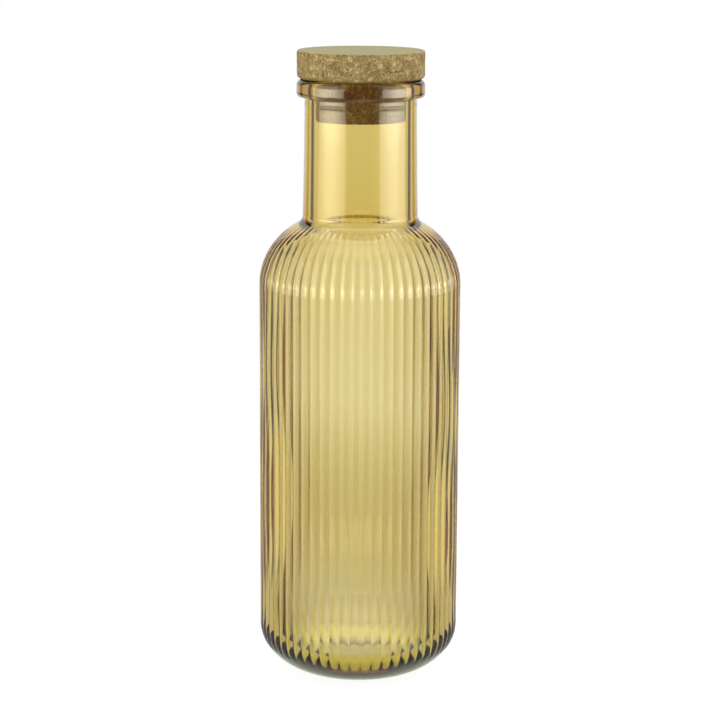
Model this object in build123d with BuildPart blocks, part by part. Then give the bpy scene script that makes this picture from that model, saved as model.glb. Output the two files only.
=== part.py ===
from build123d import *
import os
from math import acos, atan, atan2, cos, degrees, radians, sin

# A ribbed one-litre glass carafe bottle with a cork stopper, in millimetres, +Z up.
# The origin is the middle of the flat ring that the bottle stands on.

# Bottle body, measured over the rib crests
body_radius = 45.0
heel_height = 21.0
heel_inset = 26.5
shoulder_start = 178.3
shoulder_depth = 36.6
shoulder_rise = 32.3
standing_ring_width = 3.0
punt_height = 3.0

# Ribs
rib_count = 60
rib_depth = 0.72
rib_foot_height = 9.2
rib_foot_fade = 1.4
rib_head_angle = 58.0
rib_run_out_depth = 0.12
rib_thinning_start = 8.0
rib_thinning = 0.75
heel_rib_thinning = 0.45
toe_step = 0.3
heel_sections = 4
shoulder_sections = 6

# Neck and lip
neck_foot_fillet = 4.2
neck_middle_radius = 25.1
neck_top_radius = 24.8
lip_radius = 28.4
lip_height = 8.0
lip_top = 269.7
lip_top_rounding = 3.0
lip_under_rounding = 1.5

# The hollow inside
wall = 3.5
bore_radius = 20.5
mouth_rounding = 1.5
inner_neck_height = 7.0
inner_neck_turn = 56.6
inner_heel_height = 17.5
inner_heel_inset = 22.5
floor_height = 6.5
floor_crown = 1.5

# Cork stopper: a disc that rests on the lip, and a tapered plug in the mouth
cap_radius = 28.3
cap_height = 12.5
cap_edge_rounding = 1.0
cap_foot_rounding = 1.9
plug_length = 18.5
plug_clearance = 0.08
plug_taper = 0.5
plug_edge = 1.0

# How far the smooth ends run into the ribbed stretch, so that the glass is one piece
core_overlap = 2.0

rib_pitch = 360 / rib_count
ring_radius = body_radius - heel_inset
lip_bottom = lip_top - lip_height
inner_radius = body_radius - wall


def heel_point(angle):
    """Radius and height on the heel's quarter ellipse: 0 at the ring, 90 at the wall."""
    radius = ring_radius + heel_inset * sin(radians(angle))
    height = heel_height * (1 - cos(radians(angle)))
    return radius, height


def shoulder_point(angle):
    """Radius and height on the shoulder's ellipse: 0 at the wall, 90 over the axis."""
    radius = body_radius - shoulder_depth * (1 - cos(radians(angle)))
    height = shoulder_start + shoulder_rise * sin(radians(angle))
    return radius, height


def heel_rib_depth(height):
    """The ribs grow shallower from the straight wall down to their feet."""
    share = (heel_height - height) / (heel_height - rib_foot_height)
    return rib_depth * (1 - heel_rib_thinning * share * share * (3 - 2 * share))


def shoulder_rib_depth(radius, height):
    """The ribs grow shallower over the shoulder, and narrow with it."""
    start = shoulder_start + rib_thinning_start
    share = min(max((height - start) / (fillet_height - start), 0), 1)
    fade = 1 - rib_thinning * share * share * (3 - 2 * share)
    return rib_depth * fade * radius / body_radius


def rib_ring(radius, height, depth):
    """A level outline of the ribs: a closed ring of convex arcs, as a face."""
    with BuildSketch(Plane.XY.offset(height)) as ring:
        with BuildLine():
            for rib in range(rib_count):
                valley = Vector(radius - depth, 0).rotate(Axis.Z, rib * rib_pitch)
                crest = Vector(radius, 0).rotate(Axis.Z, (rib + 0.5) * rib_pitch)
                ThreePointArc(valley, crest, valley.rotate(Axis.Z, rib_pitch))
        make_face()
    return ring.sketch


# Heel angles where the ribs are full depth, and where they have run out below that
rib_foot_angle = degrees(acos(1 - rib_foot_height / heel_height))
base_top = rib_foot_height - rib_foot_fade
base_top_angle = degrees(acos(1 - base_top / heel_height))
base_top_radius = ring_radius + (heel_inset - toe_step) * sin(radians(base_top_angle))

# The fillet at the neck's foot leaves the shoulder along the shoulder's own slope
fillet_radius, fillet_height = shoulder_point(rib_head_angle)
slope_out = cos(radians(rib_head_angle)) / shoulder_depth
slope_up = sin(radians(rib_head_angle)) / shoulder_rise
fillet_turn = degrees(atan2(slope_up, slope_out))
fillet_centre_radius = fillet_radius + neck_foot_fillet * cos(radians(fillet_turn))
neck_foot_radius = fillet_centre_radius - neck_foot_fillet
neck_foot = fillet_height + neck_foot_fillet * sin(radians(fillet_turn))

# Inside, an elliptical fillet about the same centre joins the bore to the shoulder
inner_neck_width = fillet_centre_radius - bore_radius
inner_join_radius = fillet_centre_radius - inner_neck_width * cos(radians(inner_neck_turn))
inner_join_height = neck_foot - inner_neck_height * sin(radians(inner_neck_turn))
inner_depth = shoulder_depth - wall
inner_join_angle = degrees(acos((inner_join_radius - body_radius + shoulder_depth) / inner_depth))
inner_rise = (inner_join_height - shoulder_start) / sin(radians(inner_join_angle))

# ---- glass bottle: one piece of moulded glass ----
with BuildPart() as glass_bottle:
    # Smooth base below the ribs, with a flat standing ring and a shallow punt
    with BuildSketch(Plane.XZ):
        with BuildLine():
            punt_radius = ring_radius - standing_ring_width
            core_radius = base_top_radius - core_overlap
            ThreePointArc((0, punt_height), (punt_radius / 2, 0.72 * punt_height), (punt_radius, 0))
            Line((punt_radius, 0), (ring_radius, 0))
            EllipticalCenterArc(
                (ring_radius, heel_height),
                heel_inset - toe_step,
                heel_height,
                270,
                arc_size=base_top_angle,
            )
            Line((base_top_radius, base_top), (core_radius, base_top))
            Line((core_radius, base_top), (core_radius, base_top + core_overlap))
            Line((core_radius, base_top + core_overlap), (0, base_top + core_overlap))
            Line((0, base_top + core_overlap), (0, punt_height))
        make_face()
    revolve(axis=Axis.Z)

    # Ribbed heel: below it the ribs run out into the smooth base
    heel = []
    for step in range(heel_sections):
        angle = rib_foot_angle + (90 - rib_foot_angle) * step / (heel_sections - 1)
        radius, height = heel_point(angle)
        heel.append(rib_ring(radius, height, heel_rib_depth(height)))
    loft(heel)
    toe = rib_ring(base_top_radius - rib_run_out_depth, base_top, rib_run_out_depth)
    loft([toe, heel[0]], ruled=True)

    # Ribbed straight wall
    extrude(rib_ring(body_radius, heel_height, rib_depth), amount=shoulder_start - heel_height)

    # Ribbed shoulder: the ribs narrow with it and run out at the neck
    shoulder = []
    for step in range(shoulder_sections):
        radius, height = shoulder_point(rib_head_angle * step / shoulder_sections)
        shoulder.append(rib_ring(radius, height, shoulder_rib_depth(radius, height)))
    head_radius = fillet_radius - rib_run_out_depth
    shoulder.append(rib_ring(head_radius, fillet_height, rib_run_out_depth))
    loft(shoulder)

    # Smooth neck with a rounded lip ring
    with BuildSketch(Plane.XZ):
        with BuildLine():
            neck_middle = (neck_middle_radius, (neck_foot + lip_bottom) / 2)
            core_radius = neck_foot_radius - core_overlap
            Line((0, fillet_height - core_overlap), (core_radius, fillet_height - core_overlap))
            Line((core_radius, fillet_height - core_overlap), (core_radius, fillet_height))
            Line((core_radius, fillet_height), (fillet_radius, fillet_height))
            CenterArc((fillet_centre_radius, neck_foot), neck_foot_fillet, fillet_turn + 180, -fillet_turn)
            ThreePointArc((neck_foot_radius, neck_foot), neck_middle, (neck_top_radius, lip_bottom))
            Line((neck_top_radius, lip_bottom), (lip_radius, lip_bottom))
            Line((lip_radius, lip_bottom), (lip_radius, lip_top))
            Line((lip_radius, lip_top), (0, lip_top))
            Line((0, lip_top), (0, fillet_height - core_overlap))
        make_face()
        lip_corners = vertices().group_by(Axis.X)[-1].sort_by(Axis.Y)
        fillet(lip_corners[0], lip_under_rounding)
        lip_corners = vertices().group_by(Axis.Y)[-1].sort_by(Axis.X)
        fillet(lip_corners[-1], lip_top_rounding)
    revolve(axis=Axis.Z)

    # The hollow: crowned floor, rounded heel, straight wall, shoulder, bore and mouth
    with BuildSketch(Plane.XZ):
        with BuildLine():
            floor_radius = inner_radius - inner_heel_inset
            inner_heel_centre = (floor_radius, floor_height + inner_heel_height)
            shoulder_centre = (body_radius - shoulder_depth, shoulder_start)
            inner_neck_centre = (fillet_centre_radius, neck_foot)
            mouth_centre = (bore_radius + mouth_rounding, lip_top - mouth_rounding)
            ThreePointArc(
                (0, floor_height + floor_crown),
                (floor_radius / 2, floor_height + 0.75 * floor_crown),
                (floor_radius, floor_height),
            )
            EllipticalCenterArc(inner_heel_centre, inner_heel_inset, inner_heel_height, 270, arc_size=90)
            Line((inner_radius, inner_heel_centre[1]), (inner_radius, shoulder_start))
            EllipticalCenterArc(shoulder_centre, inner_depth, inner_rise, 0, arc_size=inner_join_angle)
            EllipticalCenterArc(
                inner_neck_centre,
                inner_neck_width,
                inner_neck_height,
                180 + inner_neck_turn,
                arc_size=-inner_neck_turn,
            )
            Line((bore_radius, neck_foot), (bore_radius, lip_top - mouth_rounding))
            CenterArc(mouth_centre, mouth_rounding, 180, -90)
            Line((bore_radius + mouth_rounding, lip_top), (0, lip_top))
            Line((0, lip_top), (0, floor_height + floor_crown))
        make_face()
    revolve(axis=Axis.Z, mode=Mode.SUBTRACT)

# ---- cork cap: the disc that rests on the lip ----
with BuildPart() as cork_cap:
    with BuildSketch(Plane.XY.offset(lip_top)):
        Circle(cap_radius)
    extrude(amount=cap_height)
    fillet(edges().group_by(Axis.Z)[0], cap_foot_rounding)
    fillet(edges().group_by(Axis.Z)[-1], cap_edge_rounding)

# ---- cork plug: glued under the cap, tapered so that it wedges in the mouth ----
with BuildPart() as cork_plug:
    with BuildSketch(Plane.XY.offset(lip_top)):
        Circle(bore_radius - plug_clearance)
    extrude(amount=-plug_length, taper=degrees(atan(plug_taper / plug_length)))
    chamfer(edges().group_by(Axis.Z)[0], plug_edge)

glass_bottle.part.label = "glass_bottle"
cork_cap.part.label = "cork_cap"
cork_plug.part.label = "cork_plug"

os.makedirs("parts", exist_ok=True)
export_step(glass_bottle.part, "parts/glass_bottle.step")
export_step(cork_cap.part, "parts/cork_cap.step")
export_step(cork_plug.part, "parts/cork_plug.step")
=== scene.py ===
from math import acos, atan2, cos, degrees, dist, pi, radians, sin

import bpy
import numpy as np
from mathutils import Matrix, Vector


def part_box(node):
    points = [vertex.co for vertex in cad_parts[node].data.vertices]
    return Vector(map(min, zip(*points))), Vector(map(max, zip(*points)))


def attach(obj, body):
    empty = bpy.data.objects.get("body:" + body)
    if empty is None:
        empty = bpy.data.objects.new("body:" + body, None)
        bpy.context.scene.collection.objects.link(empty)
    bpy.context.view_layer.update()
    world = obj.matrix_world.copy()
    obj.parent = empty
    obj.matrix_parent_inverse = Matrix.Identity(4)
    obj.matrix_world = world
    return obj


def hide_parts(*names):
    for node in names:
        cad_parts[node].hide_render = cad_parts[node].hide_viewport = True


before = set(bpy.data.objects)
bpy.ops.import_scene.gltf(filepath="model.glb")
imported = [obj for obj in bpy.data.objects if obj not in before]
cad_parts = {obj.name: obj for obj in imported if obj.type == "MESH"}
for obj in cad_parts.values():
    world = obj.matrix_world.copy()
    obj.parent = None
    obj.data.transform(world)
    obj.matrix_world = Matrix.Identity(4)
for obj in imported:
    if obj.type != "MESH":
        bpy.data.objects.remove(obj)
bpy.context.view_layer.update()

# Sizes in metres, angles in degrees. The glass follows the CAD node's shape: the same profile, ribs and lip.
BODY_RADIUS = 0.0450
HEEL_HEIGHT = 0.0210
HEEL_INSET = 0.0265
SHOULDER_START = 0.1783
SHOULDER_DEPTH = 0.0366
SHOULDER_RISE = 0.0323
RING_WIDTH = 0.0030
PUNT_HEIGHT = 0.0030
TOE_STEP = 0.0003
TOE_WIDTH = 0.0060

RIB_COUNT = 60
RIB_DEPTH = 0.00072
RIB_FOOT = 0.0092
RIB_FOOT_FADE = 0.0014
RIB_FOOT_RISE = 0.0044
RIB_HEEL_SHARE = 0.25
RIB_HEAD_ANGLE = 58.0
RIB_THINNING = 0.5
RIB_THINNING_START = 0.0080
RIB_HEAD_START = 0.0262
RIB_HEAD_END = 0.0282
COLUMNS_PER_RIB = 12
SMOOTH_COLUMNS = 240

NECK_FILLET = 0.0042
NECK_MIDDLE_RADIUS = 0.0251
NECK_TOP_RADIUS = 0.0248
NECK_RING = 0.00012
NECK_RING_DROP = 0.0034
NECK_RING_WIDTH = 0.0006
LIP_RADIUS = 0.0284
LIP_HEIGHT = 0.0080
LIP_TOP_ROUNDING = 0.0030
LIP_UNDER_ROUNDING = 0.0015
LIP_FILLET = 0.0007
BORE_RADIUS = 0.0205
MOUTH_ROUNDING = 0.0015

WALL = 0.0035
INNER_NECK_HEIGHT = 0.0077
INNER_NECK_TURN = 56.6
FLOOR_HEIGHT = 0.0065
FLOOR_CROWN = 0.0015
INNER_HEEL_HEIGHT = 0.0175
INNER_HEEL_INSET = 0.0225

LIP_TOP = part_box("glass_bottle")[1].z
LIP_BOTTOM = LIP_TOP - LIP_HEIGHT
RING_RADIUS = BODY_RADIUS - HEEL_INSET
INNER_RADIUS = BODY_RADIUS - WALL
RIB_PITCH = 2 * pi / RIB_COUNT
RIBS_FROM = RIB_FOOT - RIB_FOOT_FADE
RIBS_FULL_FROM = RIB_FOOT + RIB_FOOT_RISE

CAP_RADIUS = 0.0283
CAP_EDGE = 0.0010
CAP_FOOT_EDGE = 0.0019
CAP_CLEARANCE = 0.00003
PLUG_RADIUS = 0.02042
PLUG_TAPER = 0.0005
PLUG_EDGE = 0.0006
CORK_CENTRE = 0.0008

CORK_GRANULE = 0.0019
CORK_GRIT = 0.0009
CORK_PIT_SPACING = 0.0034
CORK_SEAM_DEPTH = 0.00011
CORK_GRIT_DEPTH = 0.00004
CORK_UNEVENNESS = 0.00006
CORK_PIT_DEPTH = 0.00030

SAME_POINT = 0.000001
NEAR_END = 0.06


def smooth_step(low, high, value):
    """0 below low, 1 above high, with a smooth rise between."""
    t = np.clip((value - low) / (high - low), 0, 1)
    return t * t * (3 - 2 * t)


def arc(centre, radii, start, end, steps):
    """Points on an ellipse's arc, from start to end degrees."""
    angles = np.radians(np.linspace(start, end, steps + 1))
    return [(centre[0] + radii[0] * cos(a), centre[1] + radii[1] * sin(a)) for a in angles]


def line(a, b, steps):
    """Points on a straight line, with one close to each end so that shading stays flat between."""
    shares = sorted([*np.linspace(0, 1, steps + 1), NEAR_END / steps, 1 - NEAR_END / steps])
    return [(a[0] + (b[0] - a[0]) * t, a[1] + (b[1] - a[1]) * t) for t in shares]


def joined(*runs):
    """Runs of points end to end, with repeated points left out."""
    points = []
    for run in runs:
        for p in run:
            if not points or dist(p, points[-1]) > SAME_POINT:
                points.append(p)
    return points


def neck_foot():
    """The centre of the fillet at the neck's foot, and how many degrees it turns through."""
    head = radians(RIB_HEAD_ANGLE)
    turn = atan2(sin(head) / SHOULDER_RISE, cos(head) / SHOULDER_DEPTH)
    radius = BODY_RADIUS - SHOULDER_DEPTH * (1 - cos(head)) + NECK_FILLET * cos(turn)
    height = SHOULDER_START + SHOULDER_RISE * sin(head) + NECK_FILLET * sin(turn)
    return (radius, height), degrees(turn)


def neck_line(foot):
    """The neck's outside from its foot to the lip, with a slight swell and a faint raised ring near its
    top. The points lie closer together around the ring.
    """
    top = LIP_BOTTOM - LIP_FILLET
    swell = NECK_MIDDLE_RADIUS - (foot[0] + NECK_TOP_RADIUS) / 2
    points = []
    for t in [*np.linspace(0, 0.88, 12), *np.linspace(0.895, 1, 16)]:
        height = foot[1] + (top - foot[1]) * t
        ring = NECK_RING * np.exp(-((height - LIP_BOTTOM + NECK_RING_DROP) / NECK_RING_WIDTH) ** 2)
        points.append((foot[0] + (NECK_TOP_RADIUS - foot[0]) * t + swell * 4 * t * (1 - t) + ring, height))
    return points


def lip_line():
    """The lip ring, from its fillet on the neck over its top and into the mouth."""
    fillet = LIP_FILLET
    under = LIP_UNDER_ROUNDING
    top = LIP_TOP_ROUNDING
    mouth = MOUTH_ROUNDING
    return joined(
        arc((NECK_TOP_RADIUS + fillet, LIP_BOTTOM - fillet), (fillet, fillet), 180, 90, 5),
        line((NECK_TOP_RADIUS + fillet, LIP_BOTTOM), (LIP_RADIUS - under, LIP_BOTTOM), 2),
        arc((LIP_RADIUS - under, LIP_BOTTOM + under), (under, under), 270, 360, 8),
        line((LIP_RADIUS, LIP_BOTTOM + under), (LIP_RADIUS, LIP_TOP - top), 4),
        arc((LIP_RADIUS - top, LIP_TOP - top), (top, top), 0, 90, 12),
        line((LIP_RADIUS - top, LIP_TOP), (BORE_RADIUS + mouth, LIP_TOP), 3),
        arc((BORE_RADIUS + mouth, LIP_TOP - mouth), (mouth, mouth), 90, 180, 6),
    )


def outer_profile():
    """The outside over the rib crests, from the punt's centre up to the mouth, as (radius, height)."""
    punt = RING_RADIUS - RING_WIDTH
    shoulder = (BODY_RADIUS - SHOULDER_DEPTH, SHOULDER_START)
    fillet, turn = neck_foot()
    return joined(
        [(punt * t, PUNT_HEIGHT * cos(t * pi / 2)) for t in np.linspace(0.06, 1, 10)],
        line((punt, 0), (RING_RADIUS, 0), 2),
        arc((RING_RADIUS, HEEL_HEIGHT), (HEEL_INSET, HEEL_HEIGHT), 270, 360, 34),
        line((BODY_RADIUS, HEEL_HEIGHT), (BODY_RADIUS, SHOULDER_START), 12),
        arc(shoulder, (SHOULDER_DEPTH, SHOULDER_RISE), 0, RIB_HEAD_ANGLE, 24),
        arc(fillet, (NECK_FILLET, NECK_FILLET), turn + 180, 180, 8),
        neck_line((fillet[0] - NECK_FILLET, fillet[1])),
        lip_line(),
    )


def inner_profile():
    """The hollow, from the mouth down to the floor's centre, as (radius, height)."""
    floor_radius = INNER_RADIUS - INNER_HEEL_INSET
    centre = (BODY_RADIUS - SHOULDER_DEPTH, SHOULDER_START)
    depth = SHOULDER_DEPTH - WALL
    bend = neck_foot()[0]
    width = bend[0] - BORE_RADIUS
    join_radius = bend[0] - width * cos(radians(INNER_NECK_TURN))
    join_height = bend[1] - INNER_NECK_HEIGHT * sin(radians(INNER_NECK_TURN))
    meet = acos((join_radius - centre[0]) / depth)
    rise = (join_height - centre[1]) / sin(meet)
    heel = (floor_radius, FLOOR_HEIGHT + INNER_HEEL_HEIGHT)
    return joined(
        line((BORE_RADIUS, LIP_TOP - MOUTH_ROUNDING), (BORE_RADIUS, bend[1]), 12),
        arc(bend, (width, INNER_NECK_HEIGHT), 180, 180 + INNER_NECK_TURN, 16),
        arc(centre, (depth, rise), degrees(meet), 0, 24),
        line((INNER_RADIUS, SHOULDER_START), (INNER_RADIUS, heel[1]), 46),
        arc(heel, (INNER_HEEL_INSET, INNER_HEEL_HEIGHT), 360, 270, 16),
        [(floor_radius * t, FLOOR_HEIGHT + FLOOR_CROWN * (1 - t * t)) for t in np.linspace(1, 0.06, 8)],
    )


def rib_foot_at(height):
    """0 below the ribs' feet, 1 above them."""
    return smooth_step(RIBS_FROM, RIBS_FULL_FROM, height)


def rib_depth_at(height):
    """Full depth along the body; runs out at the heel and at the neck's foot."""
    up = height - SHOULDER_START
    head = 1 - smooth_step(RIB_HEAD_START, RIB_HEAD_END, up)
    thinning = 1 - RIB_THINNING * smooth_step(RIB_THINNING_START, RIB_HEAD_START, up)
    heel = RIB_HEEL_SHARE + (1 - RIB_HEEL_SHARE) * smooth_step(RIB_FOOT, HEEL_HEIGHT, height)
    return RIB_DEPTH * rib_foot_at(height) * head * thinning * heel


def toe_inset_at(radius, height):
    """How far the smooth toe below the ribs' feet lies inside the crests' line."""
    if height >= RIBS_FULL_FROM:
        return 0
    return TOE_STEP * (1 - rib_foot_at(height)) * smooth_step(RING_RADIUS, BODY_RADIUS - TOE_WIDTH, radius)


def rib_groove(angle):
    """How far the outside lies below the crest: 0 on a crest, 1 in a valley."""
    half = BODY_RADIUS * RIB_PITCH / 2
    reed = (half * half + RIB_DEPTH * RIB_DEPTH) / (2 * RIB_DEPTH)
    across = ((angle / RIB_PITCH) % 1 - 0.5) * 2 * half
    return (reed - np.sqrt(reed * reed - across * across)) / RIB_DEPTH


def wall_waves(angle, height):
    """The moulded inside isn't quite round or straight: a smooth wander of its radius, in metres."""
    z = height * 1000  # in millimetres, as are the waves
    taper = np.interp(z, (30, 60, 180, 200), (0.0, -0.35, 0.35, 0.0))
    uneven = 0.16 * np.sin(2 * angle + 0.020 * z + 0.6) + 0.12 * np.sin(3 * angle - 0.015 * z + 2.1)
    ripple = 0.35 * np.sin(0.060 * z + 1.2 * np.sin(angle + 0.5) + 0.4)
    fade = smooth_step(16, 40, z) * (1 - smooth_step(176, 200, z))
    return 0.001 * ((uneven + ripple) * fade + taper)


def grid(low, high):
    """Quads between two rings of one length."""
    count = len(low)
    return [(low[i], low[(i + 1) % count], high[(i + 1) % count], high[i]) for i in range(count)]


def stitch(low, high):
    """Triangles between two rings of different lengths that start at the same angle."""
    faces = []
    i = 0
    j = 0
    while i < len(low) or j < len(high):
        a = low[i % len(low)]
        b = high[j % len(high)]
        if (i + 1) * len(high) <= (j + 1) * len(low):
            i += 1
            faces.append((a, low[i % len(low)], b))
        else:
            j += 1
            faces.append((a, high[j % len(high)], b))
    return faces


def fan(ring, centre):
    """Triangles from a ring to the point that it goes round."""
    count = len(ring)
    return [(centre, ring[i], ring[(i + 1) % count]) for i in range(count)]


def new_piece(name, vertices, faces):
    """A smoothly shaded object of that name, in the scene."""
    mesh = bpy.data.meshes.new(name)
    mesh.from_pydata(vertices, [], faces)
    mesh.update()
    mesh.shade_smooth()
    piece = bpy.data.objects.new(name, mesh)
    bpy.context.scene.collection.objects.link(piece)
    return piece


def build_glass():
    """The whole bottle as one closed mesh, outside and inside."""
    rib_steps = np.concatenate([[0.0], np.linspace(NEAR_END, 1 - NEAR_END, COLUMNS_PER_RIB - 1)])
    ribbed = np.array([(rib + t) * RIB_PITCH for rib in range(RIB_COUNT) for t in rib_steps])
    smooth = np.linspace(0, 2 * pi, SMOOTH_COLUMNS + 1)[:-1]
    vertices = []
    rings = []

    def add_ring(angles, radii, height):
        start = len(vertices)
        vertices.extend((r * cos(a), r * sin(a), height) for r, a in zip(radii, angles))
        rings.append(list(range(start, start + len(angles))))

    for radius, height in outer_profile():
        has_ribs = RIBS_FROM <= height <= SHOULDER_START + RIB_HEAD_END
        angles = ribbed if has_ribs else smooth
        depth = rib_depth_at(height) * radius / BODY_RADIUS
        add_ring(angles, radius - toe_inset_at(radius, height) - depth * rib_groove(angles), height)
    for radius, height in inner_profile():
        add_ring(smooth, radius + wall_waves(smooth, height) * min(1, radius / INNER_RADIUS), height)

    faces = []
    for low, high in zip(rings, rings[1:]):
        faces += grid(low, high) if len(low) == len(high) else stitch(low, high)
    vertices.append((0, 0, PUNT_HEIGHT))
    faces += fan(rings[0][::-1], len(vertices) - 1)
    vertices.append((0, 0, FLOOR_HEIGHT + FLOOR_CROWN))
    faces += fan(rings[-1], len(vertices) - 1)
    return new_piece("ribbed_glass", vertices, faces)


def granule_field(points, size, seed):
    """Distances to the nearest two of a jittered lattice of points, and the nearest one's own number."""
    cells = np.floor(points / size).astype(int)
    low = cells.min(axis=0) - 1
    shape = cells.max(axis=0) - low + 2
    jitter = np.random.default_rng(seed).random((*shape, 4))
    first = np.full(len(points), 9.0)
    second = np.full(len(points), 9.0)
    tone = np.zeros(len(points))
    for dx in (-1, 0, 1):
        for dy in (-1, 0, 1):
            for dz in (-1, 0, 1):
                near = cells + (dx, dy, dz)
                spot = jitter[tuple((near - low).T)]
                gap = np.linalg.norm(points / size - near - spot[:, :3], axis=1)
                closer = gap < first
                second = np.where(closer, first, np.minimum(second, gap))
                tone = np.where(closer, spot[:, 3], tone)
                first = np.where(closer, gap, first)
    return first, second, tone


def cork_relief(points, seed):
    """How deep the sanded cork lies below its true surface: seams between granules, and a few pits."""
    first, second, tone = granule_field(points, CORK_GRANULE, seed)
    seam = 1 - smooth_step(0.0, 0.28, second - first)
    grit_first, grit_second, _ = granule_field(points, CORK_GRIT, seed + 1)
    grit = 1 - smooth_step(0.0, 0.30, grit_second - grit_first)
    pit_near, _, pit_tone = granule_field(points, CORK_PIT_SPACING, seed + 2)
    pit = (1 - smooth_step(0.10, 0.30, pit_near)) * (pit_tone > 0.55)
    return CORK_SEAM_DEPTH * seam + CORK_GRIT_DEPTH * grit + CORK_UNEVENNESS * tone + CORK_PIT_DEPTH * pit


def build_cork(name, profile, columns, seed, end_relief):
    """A turned piece of cork with its granules in relief; end_relief is the relief's share on flat ends."""
    turn = np.linspace(0, 2 * pi, columns + 1)[:-1]
    radii = np.array([p[0] for p in profile])
    heights = np.array([p[1] for p in profile])
    slope = np.stack([np.gradient(radii), np.gradient(heights)], axis=1)
    slope /= np.linalg.norm(slope, axis=1)[:, None]
    across = np.repeat(radii[:, None], columns, axis=1)
    up = np.repeat(heights[:, None], columns, axis=1)
    places = np.stack([across * np.cos(turn), across * np.sin(turn), up], axis=2)
    relief = cork_relief(places.reshape(-1, 3), seed).reshape(across.shape)
    relief *= np.where(np.abs(slope[:, 0]) > 0.9, end_relief, 1.0)[:, None]
    across = across - relief * slope[:, 1][:, None]
    up = up + relief * slope[:, 0][:, None]
    places = np.stack([across * np.cos(turn), across * np.sin(turn), up], axis=2)

    vertices = [tuple(p) for p in places.reshape(-1, 3)]
    rings = [list(range(start, start + columns)) for start in range(0, len(vertices), columns)]
    faces = []
    for low, high in zip(rings, rings[1:]):
        faces += grid(low, high)
    vertices.append((0, 0, float(up[0].mean())))
    faces += fan(rings[0][::-1], len(vertices) - 1)
    vertices.append((0, 0, float(up[-1].mean())))
    faces += fan(rings[-1], len(vertices) - 1)
    return new_piece(name, vertices, faces)


def feed(tree, node, inputs):
    """Sets each input to a value, or links it to another node's output."""
    for socket, value in inputs:
        if isinstance(value, bpy.types.NodeSocket):
            tree.links.new(value, node.inputs[socket])
        else:
            node.inputs[socket].default_value = value


def maths(tree, operation, *values):
    node = tree.nodes.new("ShaderNodeMath")
    node.operation = operation
    feed(tree, node, enumerate(values))
    return node.outputs[0]


def vector_maths(tree, operation, *values):
    node = tree.nodes.new("ShaderNodeVectorMath")
    node.operation = operation
    feed(tree, node, enumerate(values))
    return node.outputs["Value" if operation == "LENGTH" else "Vector"]


def split_vector(tree, vector):
    node = tree.nodes.new("ShaderNodeSeparateXYZ")
    feed(tree, node, [(0, vector)])
    return node.outputs


def mixed(tree, kind, factor, a, b, blend="MIX"):
    """Numbers or colours a and b, mixed by the factor."""
    node = tree.nodes.new("ShaderNodeMix")
    node.data_type = kind
    node.blend_type = blend
    feed(tree, node, (("Factor", factor), ("A", a), ("B", b)))
    return node.outputs["Result"]


def eased(tree, value, start, end, low=0.0, high=1.0):
    """A smooth change from low to high, while the value goes from start to end."""
    node = tree.nodes.new("ShaderNodeMapRange")
    node.interpolation_type = "SMOOTHSTEP"
    inputs = (("Value", value), ("From Min", start), ("From Max", end), ("To Min", low), ("To Max", high))
    feed(tree, node, inputs)
    return node.outputs["Result"]


def ramp(tree, value, stops, interpolation="LINEAR"):
    """A colour ramp through stops of (position, colour)."""
    node = tree.nodes.new("ShaderNodeValToRGB")
    node.color_ramp.interpolation = interpolation
    elements = node.color_ramp.elements
    for element, (position, colour) in zip(elements, (stops[0], stops[-1])):
        element.position = position
        element.color = (*colour, 1)
    for position, colour in stops[1:-1]:
        elements.new(position).color = (*colour, 1)
    feed(tree, node, [("Fac", value)])
    return node.outputs["Color"]


def curve(tree, value, points, straight=False):
    """A curve through points of (input, output), the first at 0 and the last at 1."""
    node = tree.nodes.new("ShaderNodeFloatCurve")
    knots = node.mapping.curves[0].points
    knots[0].location = points[0]
    knots[1].location = points[-1]
    for point in points[1:-1]:
        knots.new(*point)
    if straight:
        for knot in knots:
            knot.handle_type = "VECTOR"
    node.mapping.update()
    feed(tree, node, [("Value", value)])
    return node.outputs["Value"]


def glass_material():
    material = bpy.data.materials.new("amber_glass")
    material.use_nodes = True
    nodes = material.node_tree.nodes
    links = material.node_tree.links
    shader = nodes["Principled BSDF"]
    shader.inputs["Base Color"].default_value = (1, 1, 1, 1)
    shader.inputs["Roughness"].default_value = 0.0
    shader.inputs["IOR"].default_value = 1.52
    shader.inputs["Transmission Weight"].default_value = 1.0
    absorb = nodes.new("ShaderNodeVolumeAbsorption")
    absorb.inputs["Color"].default_value = (0.842, 0.730, 0.156, 1)
    absorb.inputs["Density"].default_value = 250
    links.new(absorb.outputs["Volume"], nodes["Material Output"].inputs["Volume"])
    return material


def voronoi(tree, vector, scale, feature):
    node = tree.nodes.new("ShaderNodeTexVoronoi")
    node.feature = feature
    feed(tree, node, (("Vector", vector), ("Scale", scale)))
    return node.outputs


def noise(tree, vector, scale, detail):
    node = tree.nodes.new("ShaderNodeTexNoise")
    feed(tree, node, (("Vector", vector), ("Scale", scale), ("Detail", detail)))
    return node.outputs


def cell_tones(tree, cells):
    """Three random numbers per cell, as Red, Green and Blue."""
    node = tree.nodes.new("ShaderNodeSeparateColor")
    feed(tree, node, [("Color", cells["Color"])])
    return node.outputs


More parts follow.
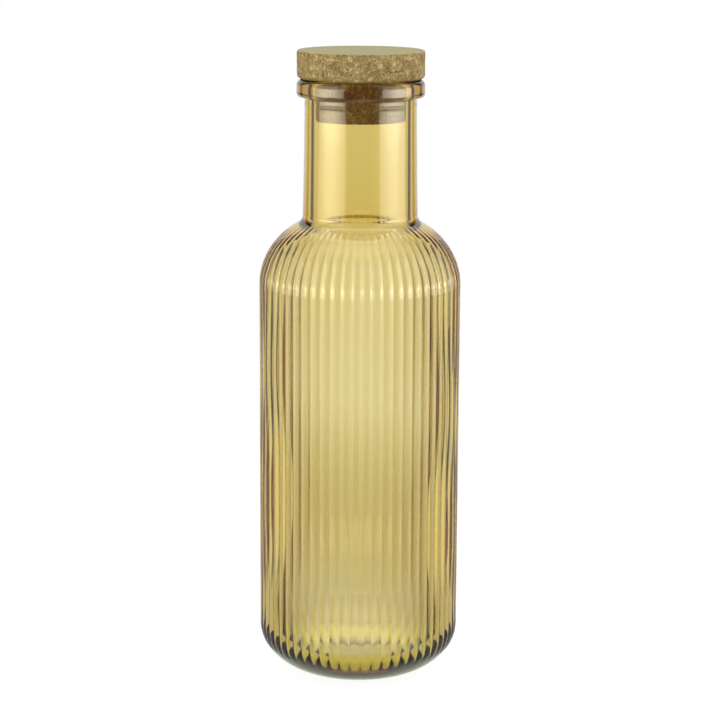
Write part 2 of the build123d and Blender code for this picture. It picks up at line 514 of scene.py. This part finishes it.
def cork_material(name, dark, middle, pale, top):
    """Cork granules of 1 to 3 mm with dark seams and pale flecks; up-facing faces get painted light and
    sheen.
    """
    material = bpy.data.materials.new(name)
    material.use_nodes = True
    tree = material.node_tree
    shader = tree.nodes["Principled BSDF"]
    shader.inputs["Roughness"].default_value = 0.85
    shader.inputs["Specular IOR Level"].default_value = 0.12
    place = tree.nodes.new("ShaderNodeTexCoord").outputs
    sway = noise(tree, place["Object"], 700, 3)["Color"]
    bent = vector_maths(tree, "MULTIPLY_ADD", sway, (0.0011, 0.0011, 0.0011), place["Object"])

    granules = cell_tones(tree, voronoi(tree, bent, 480, "F1"))
    chips = cell_tones(tree, voronoi(tree, bent, 1400, "F1"))
    seams = voronoi(tree, bent, 480, "DISTANCE_TO_EDGE")
    clouds = noise(tree, place["Object"], 130, 4)
    colour = ramp(tree, granules["Red"], ((0.0, dark), (0.30, middle), (0.75, middle), (1.0, pale)))
    shades = (
        (chips["Green"], ((0.0, (0.62, 0.58, 0.52)), (0.3, (0.93, 0.93, 0.93)),
                          (0.75, (1.04, 1.04, 1.04)), (1.0, (1.38, 1.38, 1.44)))),
        (seams["Distance"], ((0.0, (0.62, 0.56, 0.46)), (0.11, (1.0, 1.0, 1.0)))),
        (clouds["Fac"], ((0.3, (0.86, 0.85, 0.83)), (0.7, (1.14, 1.15, 1.17)))),
    )
    for value, stops in shades:
        colour = mixed(tree, "RGBA", 1.0, colour, ramp(tree, value, stops), "MULTIPLY")
    # Painted light and sheen: faces that point up are mixed towards the top colour, as if lit from above.
    upward = eased(tree, split_vector(tree, place["Normal"])["Z"], 0.35, 0.85, 0.0, 0.72)
    colour = mixed(tree, "RGBA", upward, colour, (*top, 1))
    tree.links.new(colour, shader.inputs["Base Color"])

    bump = tree.nodes.new("ShaderNodeBump")
    bump.inputs["Strength"].default_value = 0.5
    bump.inputs["Distance"].default_value = 0.0008
    relief = maths(tree, "MINIMUM", seams["Distance"], 0.12)
    feed(tree, bump, [("Height", maths(tree, "MULTIPLY_ADD", chips["Green"], 0.10, relief))])
    tree.links.new(bump.outputs["Normal"], shader.inputs["Normal"])
    return material


glass = build_glass()
glass.data.materials.append(glass_material())
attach(glass, "bottle")
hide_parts("glass_bottle")

cap_low, cap_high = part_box("cork_cap")
cap_edge = CAP_RADIUS - CAP_EDGE
cap_foot = CAP_RADIUS - CAP_FOOT_EDGE
cap_bottom = cap_low.z + CAP_CLEARANCE
cap_profile = joined(
    line((CORK_CENTRE, cap_bottom), (cap_foot, cap_bottom), 22),
    arc((cap_foot, cap_low.z + CAP_FOOT_EDGE), (CAP_FOOT_EDGE, CAP_FOOT_EDGE), 272, 358, 7),
    line((CAP_RADIUS, cap_low.z + CAP_FOOT_EDGE), (CAP_RADIUS, cap_high.z - CAP_EDGE), 20),
    arc((cap_edge, cap_high.z - CAP_EDGE), (CAP_EDGE, CAP_EDGE), 2, 90, 5),
    line((cap_edge, cap_high.z), (CORK_CENTRE, cap_high.z), 44),
)
cap = build_cork("cork_disc", cap_profile, 340, 7, 0.35)
# The last colour is painted light and sheen, for the faces that point up.
cap.data.materials.append(cork_material(
    "pressed_cork",
    (0.107, 0.074, 0.031), (0.150, 0.111, 0.047), (0.196, 0.159, 0.080), (0.200, 0.190, 0.107)
))
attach(cap, "stopper")
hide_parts("cork_cap")

plug_low, plug_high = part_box("cork_plug")
plug_foot = PLUG_RADIUS - PLUG_TAPER
plug_profile = joined(
    line((CORK_CENTRE, plug_low.z), (plug_foot - PLUG_EDGE, plug_low.z), 24),
    line((plug_foot - PLUG_EDGE, plug_low.z), (plug_foot, plug_low.z + PLUG_EDGE), 3),
    line((plug_foot, plug_low.z + PLUG_EDGE), (PLUG_RADIUS, plug_high.z), 32),
    line((PLUG_RADIUS, plug_high.z), (CORK_CENTRE, plug_high.z), 6),
)
plug = build_cork("cork_stem", plug_profile, 250, 23, 0.6)
# The last colour is painted light and sheen, for the faces that point up.
plug.data.materials.append(cork_material(
    "pressed_cork_plug",
    (0.105, 0.062, 0.018), (0.185, 0.115, 0.036), (0.260, 0.180, 0.070), (0.185, 0.130, 0.050)
))
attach(plug, "stopper")
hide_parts("cork_plug")

# ---- studio ----
scene = bpy.context.scene
TABLE_RADIUS = 0.60
TABLE_DROP = 0.0001
TABLE_FADE = (0.20, 0.58)
TABLE_WHITE = 0.93
# Painted light: the green colour of the table's glow close to the foot, and the distances over which it
# fades.
FOOT_GLOW_COLOUR = (0.88, 1.0, 0.80, 1)
FOOT_GLOW_FADE = (0.046, 0.060)
PATCH_PLACE = 0.11
PATCH_LEVEL = 2.4
PATCH_FADE = (0.05, 0.11)
PATCH_START = (0.058, 0.085)

SOFTBOX_SIZE = (1.25, 1.1)
SOFTBOX_HEIGHT = 0.52
OVERHEAD_SIZE = (1.2, 1.2)
WARM = (1.0, 0.90, 0.60)
PALE = (1.0, 0.945, 0.73)
DAYLIGHT = (1.0, 0.96, 0.88)

CAMERA_SIDE = (135, 160)
CAMERA_SIDE_LIFT = 0.45
DIFFUSE_LEVEL = 1.8

# The glow of the table under the bottle: (tenths of a metre from the axis, half the strength).
GLOW = ((0, 0.34), (0.20, 0.34), (0.27, 0.47), (0.40, 0.46), (0.50, 0.29), (1, 0.29))
# The level of a soft light up its height: (share of the height, level).
UPWARD = (
    (0, 0), (0.04, 0.17), (0.09, 0.56), (0.15, 0.57), (0.18, 0.84), (0.22, 1), (0.27, 0.55), (0.38, 0.31),
    (1, 0.25)
)
# The walls of the studio: (degrees from straight behind the bottle, level). The gaps give the glass
# its dark edge lines.
WALLS = (
    (0, 1.0), (36, 1.0), (42, 0.05), (48, 0.05), (54, 1.0), (70, 1.2), (92, 1.1), (135, 1.0), (160, 0.18),
    (180, 0.18)
)


def table_strength(tree, place, from_axis, seen):
    """The table's glow: one even level to the camera. Other rays, such as those through the glass, meet
    rings of light under the bottle and a bright patch in front of it.
    """
    from_patch = vector_maths(tree, "LENGTH", vector_maths(tree, "ADD", place, (0, PATCH_PLACE, 0)))
    patch = eased(tree, from_patch, *PATCH_FADE, PATCH_LEVEL, 0.0)
    beyond_foot = eased(tree, from_axis, *PATCH_START)
    tenths = maths(tree, "MULTIPLY", from_axis, 10)
    under = maths(tree, "MULTIPLY", curve(tree, tenths, GLOW, straight=True), 2)
    glow = maths(tree, "MULTIPLY_ADD", patch, beyond_foot, under)
    return mixed(tree, "FLOAT", seen, glow, TABLE_WHITE)


def pale_table():
    """Pale and matt, and it glows. Close to the foot its glow is green, a painted light that the camera
    doesn't see directly. It fades into the white around.
    """
    material = bpy.data.materials.new("pale_table")
    material.use_nodes = True
    tree = material.node_tree
    shader = tree.nodes["Principled BSDF"]
    shader.inputs["Base Color"].default_value = (0.05, 0.05, 0.05, 1)
    shader.inputs["Roughness"].default_value = 0.9
    place = tree.nodes.new("ShaderNodeNewGeometry").outputs["Position"]
    seen = tree.nodes.new("ShaderNodeLightPath").outputs["Is Camera Ray"]
    from_axis = vector_maths(tree, "LENGTH", place)
    # Painted light: close to the foot the glow is green for rays other than the camera's.
    white_glow_share = maths(tree, "MAXIMUM", eased(tree, from_axis, *FOOT_GLOW_FADE), seen)
    feed(tree, shader, (
        ("Emission Color", mixed(tree, "RGBA", white_glow_share, FOOT_GLOW_COLOUR, (1, 1, 1, 1))),
        ("Emission Strength", table_strength(tree, place, from_axis, seen)),
    ))
    outward = vector_maths(tree, "LENGTH", vector_maths(tree, "MULTIPLY", place, (2.0, 1.0, 1.0)))
    clear = tree.nodes.new("ShaderNodeBsdfTransparent")
    fade = tree.nodes.new("ShaderNodeMixShader")
    feed(tree, fade, enumerate((eased(tree, outward, *TABLE_FADE), shader.outputs[0], clear.outputs[0])))
    tree.links.new(fade.outputs[0], tree.nodes["Material Output"].inputs["Surface"])
    return material


def round_table():
    """The plain pale surface that the bottle stands on."""
    rim = [(TABLE_RADIUS * cos(a), TABLE_RADIUS * sin(a), 0) for a in np.linspace(0, 2 * pi, 129)[:-1]]
    table = new_piece("table", rim, [tuple(range(len(rim)))])
    table.location.z = -TABLE_DROP
    table.data.materials.append(pale_table())


def soft_light(name, place, aim, size, radiance, edge, colour):
    """A soft light: edge is its level at the sides, and upward it is brightest a fifth of the way up."""
    light = bpy.data.lights.new(name, "AREA")
    light.shape = "RECTANGLE"
    light.size = size[0]
    light.size_y = size[1]
    light.energy = pi * size[0] * size[1]
    light.color = colour
    light.use_nodes = True
    tree = light.node_tree
    across = split_vector(tree, tree.nodes.new("ShaderNodeNewGeometry").outputs["Parametric"])
    side = 0.5 + 0.5 * edge
    sides = curve(tree, across["X"], ((0, edge), (0.22, side), (0.5, 1), (0.78, side), (1, edge)))
    level = maths(tree, "MULTIPLY", sides, radiance)
    level = maths(tree, "MULTIPLY", level, curve(tree, across["Y"], UPWARD))
    tree.links.new(level, tree.nodes["Emission"].inputs["Strength"])
    lamp = bpy.data.objects.new(name, light)
    lamp.location = place
    lamp.rotation_euler = (Vector(aim) - lamp.location).to_track_quat("-Z", "Y").to_euler()
    lamp.visible_camera = False
    lamp.visible_transmission = False
    scene.collection.objects.link(lamp)


def beside(azimuth, distance, height):
    """A place round the object: azimuth in degrees from the camera's side, positive to the right."""
    a = radians(azimuth - 90)
    return (distance * cos(a), distance * sin(a), height)


def studio_world():
    """White to the camera. To the glass, bright walls with a narrow dark gap on each side, and a dark
    camera's side, which is lifted for light that comes through glass. Matt surfaces get one even level.
    """
    world = bpy.data.worlds.new("studio")
    scene.world = world
    world.use_nodes = True
    tree = world.node_tree
    background = tree.nodes["Background"]
    background.inputs["Color"].default_value = (1, 1, 1, 1)
    direction = split_vector(tree, tree.nodes.new("ShaderNodeTexCoord").outputs["Generated"])
    path = tree.nodes.new("ShaderNodeLightPath").outputs
    turn = maths(tree, "ABSOLUTE", maths(tree, "ARCTAN2", direction["X"], direction["Y"]))
    turn = maths(tree, "DIVIDE", turn, pi)
    walls = ramp(tree, turn, [(angle / 180, (level, level, level)) for angle, level in WALLS], "EASE")
    through_glass = maths(tree, "MINIMUM", path["Transmission Depth"], 1)
    start, end = CAMERA_SIDE
    near_camera = eased(tree, turn, start / 180, end / 180, 0.0, CAMERA_SIDE_LIFT)
    lit = maths(tree, "MULTIPLY_ADD", near_camera, through_glass, walls)
    lit = mixed(tree, "FLOAT", path["Diffuse Depth"], lit, DIFFUSE_LEVEL)
    strength = mixed(tree, "FLOAT", path["Is Camera Ray"], lit, 1.0)
    tree.links.new(strength, background.inputs["Strength"])


round_table()
middle = (0, 0, SOFTBOX_HEIGHT)
soft_light("left_softbox", beside(-63, 1.0, SOFTBOX_HEIGHT), middle, SOFTBOX_SIZE, 11.0, 0.30, WARM)
soft_light("right_softbox", beside(69, 1.0, SOFTBOX_HEIGHT), middle, SOFTBOX_SIZE, 10.5, 0.35, PALE)
soft_light("overhead", (0, 0.1, 1.3), (0, 0, 0), OVERHEAD_SIZE, 5.0, 0.8, DAYLIGHT)
studio_world()

# ---- camera: the photograph's view ----
CAMERA_DISTANCE = 1.031
CAMERA_HEIGHT = 0.3513
CAMERA_TILT = 11.415
CAMERA_ROLL = -0.28
CAMERA_AZIMUTH = -91.2
CAMERA_OFFSET = -0.0008
CAMERA_LENS = 116.6
camera_data = bpy.data.cameras.new("camera")
camera_data.lens = CAMERA_LENS
camera_data.sensor_width = 36
camera = bpy.data.objects.new("camera", camera_data)
a = radians(CAMERA_AZIMUTH)
camera.location = (CAMERA_DISTANCE * cos(a), CAMERA_DISTANCE * sin(a), CAMERA_HEIGHT)
camera.location.x += CAMERA_OFFSET
camera.rotation_euler = (radians(90 - CAMERA_TILT), radians(CAMERA_ROLL), a + pi / 2)
scene.collection.objects.link(camera)
scene.camera = camera

scene.view_settings.view_transform = "Standard"
scene.cycles.max_bounces = 32
scene.cycles.transmission_bounces = 32
scene.cycles.glossy_bounces = 16
scene.cycles.diffuse_bounces = 4
scene.cycles.use_denoising = True
